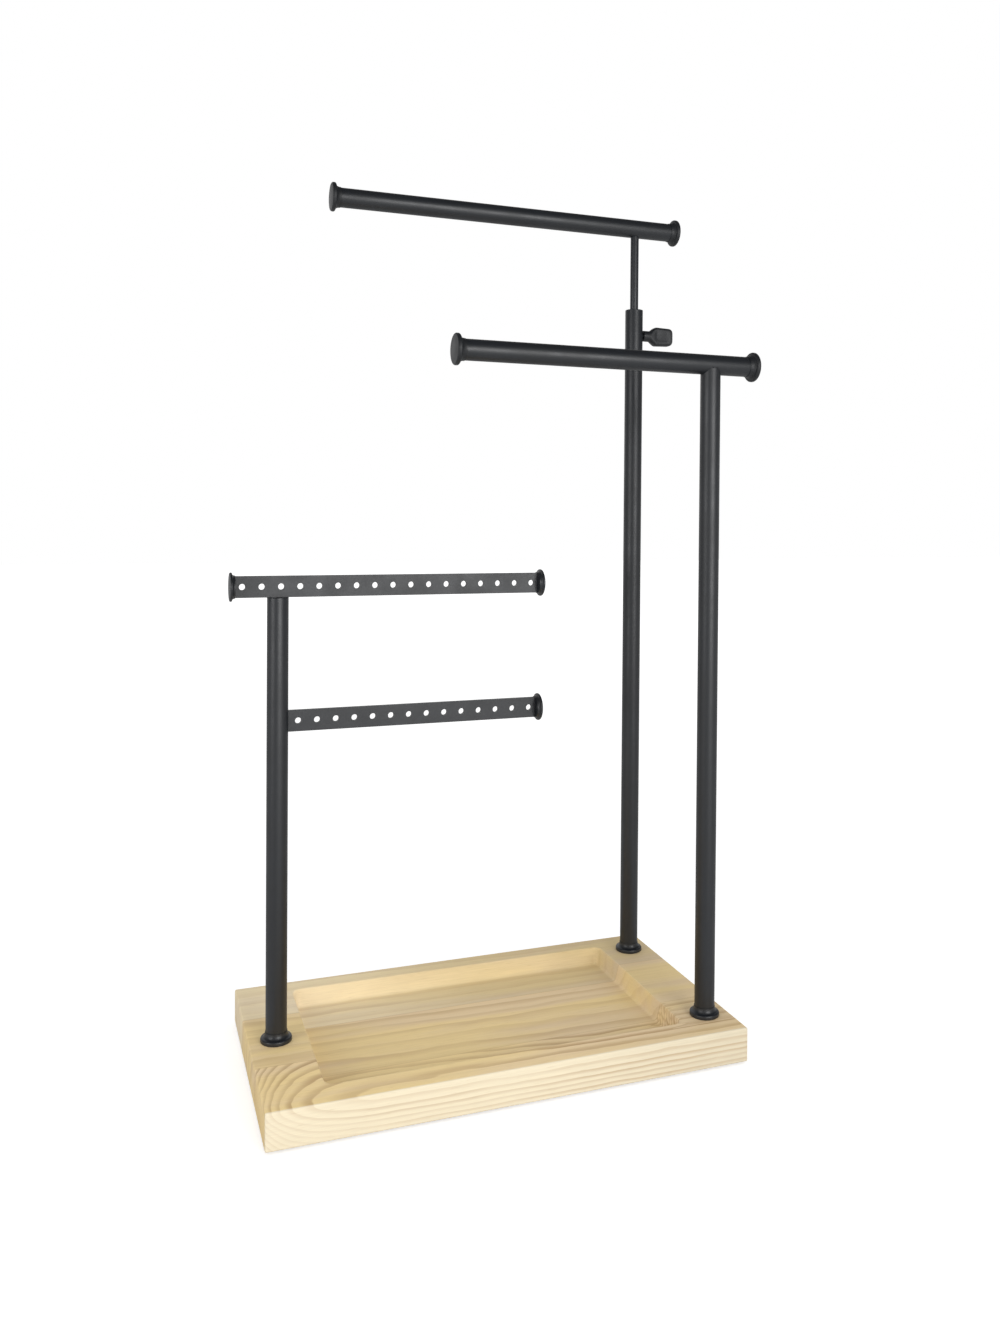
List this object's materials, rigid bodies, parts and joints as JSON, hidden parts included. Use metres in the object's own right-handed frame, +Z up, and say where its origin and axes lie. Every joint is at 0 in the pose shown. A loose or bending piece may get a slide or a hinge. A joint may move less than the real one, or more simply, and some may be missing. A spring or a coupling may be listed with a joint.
{
  "type": "jewelry stand",
  "caption": "Tabletop jewelry stand: routed wooden tray, steel posts, perforated earring bars, a fixed necklace bar and a height-adjustable necklace bar held by a thumbscrew.",
  "frame": {"origin": "on the table, under the middle of the stand's overall box", "axes": "+Z up, +X along the tray towards the two necklace posts, +Y from the front to the rear"},
  "size_m": [0.274, 0.14, 0.4745],
  "materials": {
    "pine": "sanded, clear matt varnish",
    "black_metal": "satin powder coat",
    "black_plastic": "fine satin",
    "zinc_steel": "zinc plated",
    "pad_rubber": "matt"
  },
  "bodies": {
    "stand": {"tray": "pine", "front_left_foot_pad": "pad_rubber", "front_right_foot_pad": "pad_rubber", "rear_left_foot_pad": "pad_rubber", "rear_right_foot_pad": "pad_rubber", "left_post": "black_metal", "front_post": "black_metal", "rear_post": "black_metal", "left_post_plug": "black_metal", "post_collars": "black_metal", "base_screws": "zinc_steel", "upper_earring_bar": "black_metal", "lower_earring_bar": "black_metal", "earring_bar_discs": "black_metal", "middle_necklace_bar": "black_metal", "middle_bar_caps": "black_plastic", "rod_guide": "black_metal"},
    "riser": {"riser_rod": "black_metal"},
    "swivel_bar": {"top_necklace_bar": "black_metal", "top_bar_caps": "black_plastic"},
    "clamp_stud": {"thumbscrew_stud": "black_metal"},
    "clamp_knob": {"thumbscrew_knob": "black_plastic"}
  },
  "joints": [
    {"name": "riser_height", "type": "slide", "parent": "stand", "child": "riser", "axis": [0, 0, 1], "range_m": [-0.044, 0.08]},
    {"name": "top_bar_swivel", "type": "hinge", "parent": "riser", "child": "swivel_bar", "pos_m": [0.109, 0.048, 0.4665], "axis": [0, 0, 1], "continuous": true},
    {"name": "thumbscrew_feed", "type": "slide", "parent": "stand", "child": "clamp_stud", "axis": [1, 0, 0], "range_m": [0, 0.00105]},
    {"name": "thumbscrew_turn", "type": "hinge", "parent": "clamp_stud", "child": "clamp_knob", "pos_m": [0.124, 0.048, 0.401], "axis": [1, 0, 0], "range_deg": [0, 540]}
  ],
  "couplings": [
    {"joint": "thumbscrew_turn", "follows": "thumbscrew_feed", "rad_per_m": 8976}
  ]
}
